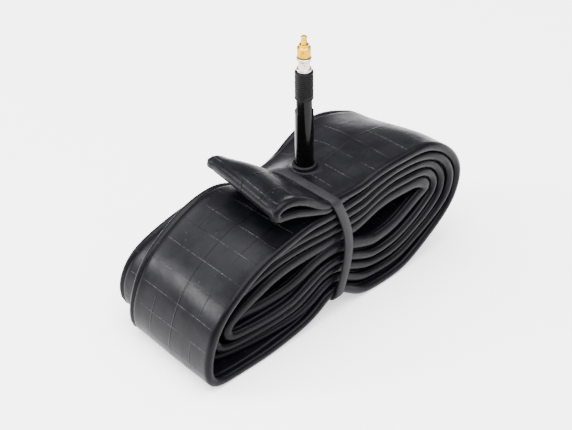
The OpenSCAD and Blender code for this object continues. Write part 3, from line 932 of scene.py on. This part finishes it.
def build_core(valve, material):
    """The core: a head with wrench flats, a threaded barrel and the plain lower barrel."""
    low, high = node_box("core_body")
    bottom, top = low[2], high[2]
    rim = node_box("valve_stem")[1][2]
    head, waist, thread_r, barrel = CORE_HEAD_R, CORE_WAIST_R, CORE_THREAD_R, CORE_BARREL_R
    joint = rim - CORE_THREAD_LENGTH
    seal_low, seal_high = bottom + SEAL_GROOVE_LOW, bottom + SEAL_GROOVE_HIGH
    part = Turned(max(valve.sides, 120))
    part.run((bottom, CORE_BORE), (bottom, barrel - 0.12), (bottom + 0.12, barrel))
    part.run((seal_low, barrel), (seal_low, SEAL_GROOVE_R))
    part.run((seal_high, SEAL_GROOVE_R), (seal_high, barrel))
    part.run((joint - 0.02, barrel), (joint, thread_r - 0.25), (joint + 0.25, thread_r))
    lower, upper = joint + 0.3, rim - 0.5
    part.cut(lower, upper, thread_r, 0.05, thread(valve.core_pitch, 0.18, lower, upper))
    part.run((rim + 0.05, thread_r), (rim + 0.05, head - 0.12), (rim + 0.15, head))
    part.run((rim + 0.75, head), (rim + 0.9, head - 0.1), (rim + 1.1, waist))
    part.cut(rim + 1.15, rim + 3.25, waist, 0.3, flats(1.75))
    part.run((rim + 3.3, waist), (rim + 3.6, waist + 0.04), (rim + 3.85, head - 0.08))
    part.run((rim + 3.95, head), (top - 0.15, head), (top, head - 0.14))
    part.run((top, 1.35), (top - 0.2, CORE_BORE), (top - 1, CORE_BORE))
    return part.make("core_housing", valve_axis(), material)


def build_pin(valve, material):
    """The lift pin: peened tip, threaded end, thin shank and headed foot."""
    low, high = node_box("valve_pin")
    foot, top = low[2], high[2]
    seat = node_box("core_body")[1][2]
    part = Turned(48)
    part.run((foot, 0), (foot, PIN_FOOT_R - 0.1), (foot + 0.1, PIN_FOOT_R))
    part.run((foot + 0.5, PIN_FOOT_R), (foot + 0.6, PIN_FOOT_R - 0.1), (foot + 0.6, SHANK_R))
    part.run((seat - 4, SHANK_R), (seat - 3.9, PIN_R - 0.15), (seat - 3.75, PIN_R))
    lower, upper = seat - 3.5, top - 0.75
    part.cut(lower, upper, PIN_R, 0.05, thread(valve.pin_pitch, 0.12, lower, upper))
    part.run((top - 0.66, PIN_R - 0.02), (top - 0.58, 1.03), (top - 0.36, 1.05))
    part.run((top - 0.16, 0.92), (top - 0.04, 0.6), (top, 0.3), (top, 0))
    return part.make("lift_pin", valve_axis(), material)


def build_nut(material):
    """The knurled lock nut with its shoulder."""
    low, high = node_box("lock_nut")
    bottom, top = low[2], high[2]
    body, bore = (high[0] - low[0]) / 2, 1.0
    neck = body - 0.62
    shoulder = top - NUT_SHOULDER
    part = Turned(160)
    part.run((bottom, bore), (bottom, body - 0.45), (bottom + 0.08, body - 0.35))
    part.run((bottom + 0.3, body - 0.3), (bottom + 0.42, body - 0.12), (bottom + 0.5, body - 0.02))
    part.cut(bottom + 0.55, shoulder - 0.15, body, 0.4, knurl(NUT_KNURLS, 0.16))
    part.run((shoulder - 0.1, body - 0.02), (shoulder + 0.05, body - 0.18))
    part.run((shoulder + 0.25, body - 0.5), (shoulder + 0.32, neck), (top - 0.12, neck))
    part.run((top, body - 0.74), (top, bore + 0.12), (top - 0.12, bore))
    return part.make("knurled_nut", valve_axis(), material)


# ---------------------------------------------------------------- operators


def dress(piece, body, node):
    """Rides a piece on its body in place of its CAD node."""
    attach(piece, body)
    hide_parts(node)


def recoat(node, material):
    """Gives a CAD node that stays in view its own material."""
    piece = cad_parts[node]
    piece.data.materials.clear()
    piece.data.materials.append(material)


def placed(data, right, up, back, place):
    """Adds a camera or lamp whose axes are given, at a place in millimetres."""
    holder = bpy.data.objects.new(data.name, data)
    bpy.context.scene.collection.objects.link(holder)
    matrix = np.eye(4)
    matrix[:3, 0], matrix[:3, 1], matrix[:3, 2] = right, up, back
    matrix[:3, 3] = place * MM
    holder.matrix_world = Matrix(matrix.tolist())
    return holder


AIM_FROM_VALVE = (-1.8, 6.9)
AIM_HEIGHT = 24.0
FLOOR_HALF = 3000.0
WORLD_COLOUR, WORLD_STRENGTH = (1.0, 0.99, 0.985, 1.0), 0.7
LAMP_AIM = (0.0, 0.0, 25.0)
# Name, place, width and height in millimetres, and power in watts.
LAMPS = (
    ("ceiling", (-60, -60, 900), (1500, 1200), 56.0),
    ("window", (-560, 480, 400), (190, 150), 7.0),
)


class INNERTUBE_OT_stage(bpy.types.Operator):
    """Camera, floor and soft studio light"""

    bl_idname = "innertube.stage"
    bl_label = "Set the stage"

    def execute(self, context):
        stage = context.scene.inner_tube_stage
        turn, tilt, roll = (math.radians(v) for v in (stage.azimuth, stage.elevation, stage.roll))
        level = math.cos(tilt)
        right = np.array([math.cos(turn), math.sin(turn), 0.0])
        ahead = np.array([-math.sin(turn) * level, math.cos(turn) * level, -math.sin(tilt)])
        up = np.cross(right, ahead)
        right, up = (
            right * math.cos(roll) + up * math.sin(roll),
            up * math.cos(roll) - right * math.sin(roll),
        )
        aim = np.array([*(valve_axis() + AIM_FROM_VALVE), AIM_HEIGHT])
        data = bpy.data.cameras.new("camera")
        data.lens = stage.lens
        data.sensor_width = 36.0
        data.clip_start = 0.01
        context.scene.camera = placed(data, right, up, -ahead, aim - ahead * stage.distance)

        far = FLOOR_HALF
        corners = [(-far, -far, 0), (far, -far, 0), (far, far, 0), (-far, far, 0)]
        floor = mesh_object("floor", corners, [(0, 1, 2, 3)], floor_material(stage.floor))

        world = bpy.data.worlds.new("studio")
        world.use_nodes = True
        sky = world.node_tree.nodes["Background"]
        sky.inputs["Color"].default_value = WORLD_COLOUR
        sky.inputs["Strength"].default_value = WORLD_STRENGTH
        context.scene.world = world
        for name, place, size, power in LAMPS:
            lamp = bpy.data.lights.new(name, "AREA")
            lamp.shape = "RECTANGLE"
            lamp.size, lamp.size_y = size[0] * MM, size[1] * MM
            lamp.energy = power
            here = np.array(place, float)
            towards = np.array(LAMP_AIM) - here
            back = -towards / np.linalg.norm(towards)
            side = np.cross([0.0, 0.0, 1.0], back)
            side /= np.linalg.norm(side)
            placed(lamp, side, np.cross(back, side), back, here)
        return {"FINISHED"}


class INNERTUBE_OT_tube(bpy.types.Operator):
    """The doubled and rolled butyl tube"""

    bl_idname = "innertube.tube"
    bl_label = "Make the rolled tube"

    def execute(self, context):
        roll = context.scene.inner_tube_roll
        dress(build_tube(roll, butyl_material(roll)), "root", "inner_tube")
        return {"FINISHED"}


class INNERTUBE_OT_band(bpy.types.Operator):
    """The rubber band round the waist"""

    bl_idname = "innertube.band"
    bl_label = "Make the rubber band"

    def execute(self, context):
        roll = context.scene.inner_tube_roll
        material = rubber_material("band_rubber", roll.band, BAND_BLOOM, 0.55)
        dress(build_band(roll, material), "root", "rubber_band")
        return {"FINISHED"}


class INNERTUBE_OT_valve(bpy.types.Operator):
    """The stem with its rubber collar"""

    bl_idname = "innertube.valve"
    bl_label = "Make the stem and collar"

    def execute(self, context):
        valve = context.scene.inner_tube_valve
        roll = context.scene.inner_tube_roll
        rubber = rubber_material("collar_rubber", roll.butyl, roll.bloom, 0.45)
        dress(build_collar(valve, rubber), "root", "valve_base")
        thread_bottom = node_box("valve_stem")[1][2] - STEM_THREAD_LENGTH
        black = anodised_material(valve.black, thread_bottom)
        dress(build_stem(valve, black), "root", "valve_stem")
        return {"FINISHED"}


class INNERTUBE_OT_core(bpy.types.Operator):
    """The removable core, its lift pin, lock nut and seals"""

    bl_idname = "innertube.core"
    bl_label = "Make the valve core"

    def execute(self, context):
        valve = context.scene.inner_tube_valve
        nickel = metal_material("nickel_plate", valve.nickel, NICKEL_FILM, 0.24)
        brass = metal_material("nut_brass", valve.brass, NUT_FILM, 0.3)
        pale = metal_material("pin_brass", valve.pale_brass, PIN_FILM, 0.3)
        seal = rubber_material("seal_rubber", SEAL, SEAL_BLOOM, 0.6)
        dress(build_core(valve, nickel), "core", "core_body")
        dress(build_pin(valve, pale), "pin", "valve_pin")
        dress(build_nut(brass), "nut", "lock_nut")
        recoat("core_seal", seal)
        recoat("pin_plug", seal)
        recoat("plug_cup", pale)
        return {"FINISHED"}


class INNERTUBE_PT_panel(bpy.types.Panel):
    """Sizes, colours and steps of the inner tube"""

    bl_idname = "INNERTUBE_PT_panel"
    bl_label = "Inner tube"
    bl_space_type = "VIEW_3D"
    bl_region_type = "UI"
    bl_category = "Inner tube"

    def draw(self, context):
        scene = context.scene
        for settings in (scene.inner_tube_roll, scene.inner_tube_valve, scene.inner_tube_stage):
            box = self.layout.box()
            for name in settings.__annotations__:
                box.prop(settings, name)
        for step in STEPS:
            self.layout.operator(step.bl_idname)


STEPS = (
    INNERTUBE_OT_stage,
    INNERTUBE_OT_tube,
    INNERTUBE_OT_band,
    INNERTUBE_OT_valve,
    INNERTUBE_OT_core,
)
GROUPS = {
    "inner_tube_roll": RollSettings,
    "inner_tube_valve": ValveSettings,
    "inner_tube_stage": StageSettings,
}


def register():
    for group in GROUPS.values():
        bpy.utils.register_class(group)
    for step in STEPS:
        bpy.utils.register_class(step)
    bpy.utils.register_class(INNERTUBE_PT_panel)
    for name, group in GROUPS.items():
        setattr(bpy.types.Scene, name, PointerProperty(type=group))


def unregister():
    for name in GROUPS:
        delattr(bpy.types.Scene, name)
    bpy.utils.unregister_class(INNERTUBE_PT_panel)
    for step in reversed(STEPS):
        bpy.utils.unregister_class(step)
    for group in reversed(list(GROUPS.values())):
        bpy.utils.unregister_class(group)


def main():
    register()
    bpy.ops.innertube.stage()
    bpy.ops.innertube.tube()
    bpy.ops.innertube.band()
    bpy.ops.innertube.valve()
    bpy.ops.innertube.core()


if __name__ == "__main__":
    main()
